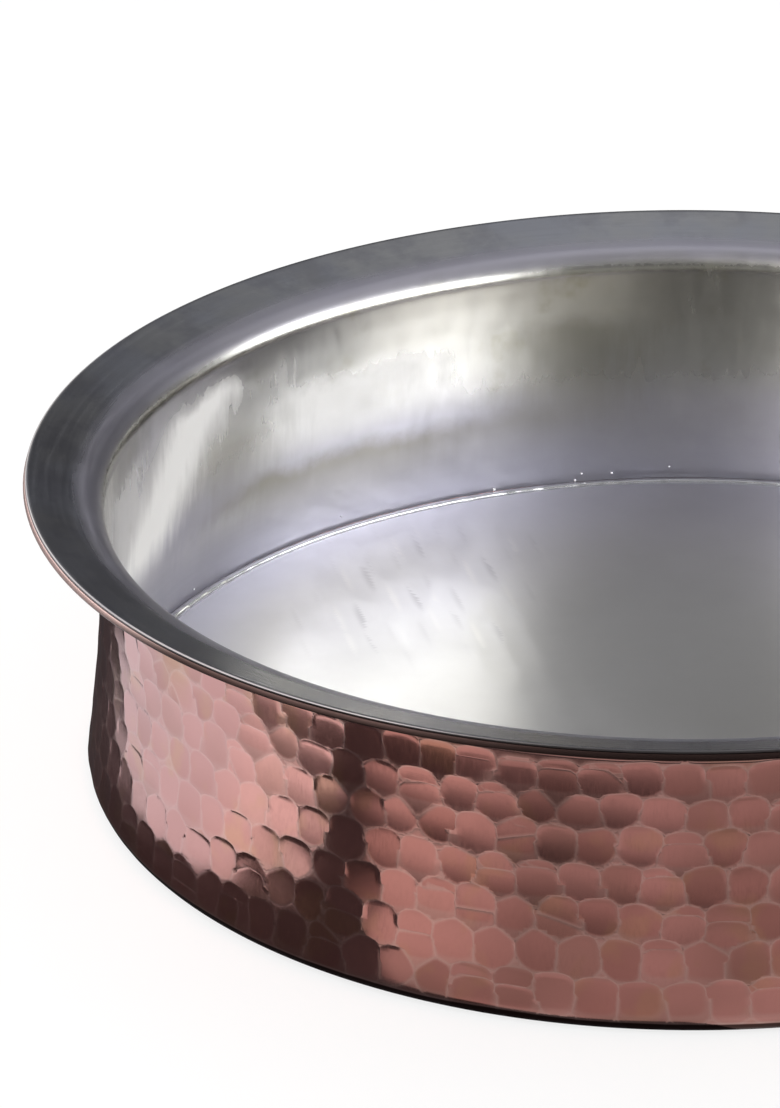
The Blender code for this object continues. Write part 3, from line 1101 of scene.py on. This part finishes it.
sheets = {
    "left": {
        "outline": ((-181, -162), (-196, -164), (-207, -150), (-219, -134), (-235, -115), (-262, -104),
                    (-330, -90), (-330, 215), (-262, 112), (-207, 30), (-200, 12), (-193, -2), (-183, -23),
                    (-172, -48), (-165, -75), (-163, -100), (-176, -128)),
        "pale": (0.78, 0.94, 1.04),
        "dim": (0.68, 0.80, 0.88),
        "hot": ((-0.200, -0.143, 0), 0.075, (1.00, 1.08, 1.10)),  # a brighter spot, its reach in m and its glow
    },
    "front": {
        "outline": ((-80, -154), (-115, -166), (-150, -182), (-181, -185), (-168, -202), (-148, -222),
                    (-122, -243), (-92, -259), (-50, -277), (0, -292), (60, -300), (200, -280), (330, -150),
                    (300, 0), (200, 40), (176, -40), (150, -100), (90, -150), (0, -168)),
        "pale": (0.43, 0.39, 0.39),
        "dim": (0.24, 0.225, 0.215),
        "hot": ((-0.142, -0.197, 0), 0.075, (0.58, 0.52, 0.50)),
    },
    "back": {
        "outline": ((-150, 110), (-290, 230), (-60, 330), (190, 290), (320, 150), (190, 70), (140, 125),
                    (60, 172), (-60, 176)),
        "pale": (0.62, 0.62, 0.66),
        "dim": (0.40, 0.40, 0.42),
    },
}


def paleSheet(name, k):
    look = glowing(name + "_glow")
    place = look.place()
    glow = look.tint(look.noise(place, 22, 2, 0.5).rise(0.3, 0.7), k["dim"], k["pale"])
    if "hot" in k:
        spot, reach, colour = k["hot"]
        away = look.node("ShaderNodeVectorMath", {"operation": "DISTANCE"}, {0: place, 1: spot}, "Value")
        glow = look.tint(1 - away.rise(reach * 0.2, reach), glow, colour)
    look.set(Emission_Color=glow)
    onlyReflected(flatCard(name + "Sheet", k["outline"], -0.0005, look))


for name, settings in sheets.items():
    paleSheet(name, settings)

tent = {
    "radius": 0.62,
    "low": (0.09, 0.09, 0.097),  # the glow between the lamps, near the table and overhead
    "high": (0.38, 0.385, 0.40),
    "climb": (30, 52),  # degrees over which it changes
    # azimuth, height, half width, half height, soft edge round and up in degrees, then the glow
    "lamps": (
        (60, 64, 60, 12, 20, 20, (0.8, 0.8, 0.82)),  # overhead
        (278, 19, 30, 8, 20, 12, (0.42, 0.42, 0.41)),  # in front
        (148, 33, 34, 19, 23, 24, (3.5, 3.45, 3.4)),  # at the back left
        (207, 33, 28, 20, 10, 14, (4.9, 4.8, 4.7)),  # at the left
        (346, 25, 34, 13, 14, 14, (6.5, 6.55, 6.6)),  # at the right
    ),
}


def litTent(k):
    bm = bmesh.new()
    bmesh.ops.create_uvsphere(bm, u_segments=48, v_segments=32, radius=k["radius"])
    bmesh.ops.bisect_plane(bm, geom=bm.verts[:] + bm.edges[:] + bm.faces[:], plane_co=(0, 0, 0.001),
                           plane_no=(0, 0, 1), clear_inner=True)
    look = glowing("tent_glow")
    angle, radius, height = look.round(look.place())
    rise = height.math("ARCTAN2", height, radius) * degreesPerRadian
    glow = look.tint(rise.rise(*k["climb"]), k["low"], k["high"])
    for azimuth, level, wide, tall, side, edge, colour in k["lamps"]:
        off = abs((angle * degreesPerRadian - azimuth + 540).wrap() - 180)
        level = abs(rise - level)
        mask = (1 - off.rise(wide - side / 2, wide + side / 2)) * (1 - level.rise(tall - edge / 2, tall + edge / 2))
        glow = look.tint(mask, glow, colour)
    look.set(Emission_Color=glow)
    onlyReflected(stageMesh("tent", bm, look))


litTent(tent)

studio = {
    "floorSide": 6000,  # mm from the middle
    "floorColour": (0.22, 0.22, 0.22),
    "floorGlow": 0.79,
    "white": (1.04, 1.04, 1.04),  # all round, for the floor and the view
    "mirrored": (0.046, 0.044, 0.047),  # nearly dark, where metal mirrors the table
}


def paleFloor(k):
    look = Look("pale_floor")
    look.set(Base_Color=k["floorColour"], Roughness=0.8, Specular_IOR_Level=0.1, Emission_Color=(1, 1, 1),
             Emission_Strength=k["floorGlow"])
    s = k["floorSide"]
    floor = flatCard("paleFloor", ((-s, -s), (s, -s), (s, s), (-s, s)), -0.0002, look)
    floor.visible_glossy = False


def setWorld(k):
    world = bpy.data.worlds.new("studio")
    scene.world = world
    world.use_nodes = True
    tree = world.node_tree
    path = tree.nodes.new("ShaderNodeLightPath")
    mix = tree.nodes.new("ShaderNodeMix")
    mix.data_type = "RGBA"
    mix.inputs[6].default_value = (*k["white"], 1)
    mix.inputs[7].default_value = (*k["mirrored"], 1)
    tree.links.new(path.outputs["Is Glossy Ray"], mix.inputs[0])
    tree.links.new(mix.outputs[2], tree.nodes["Background"].inputs["Color"])


paleFloor(studio)
setWorld(studio)
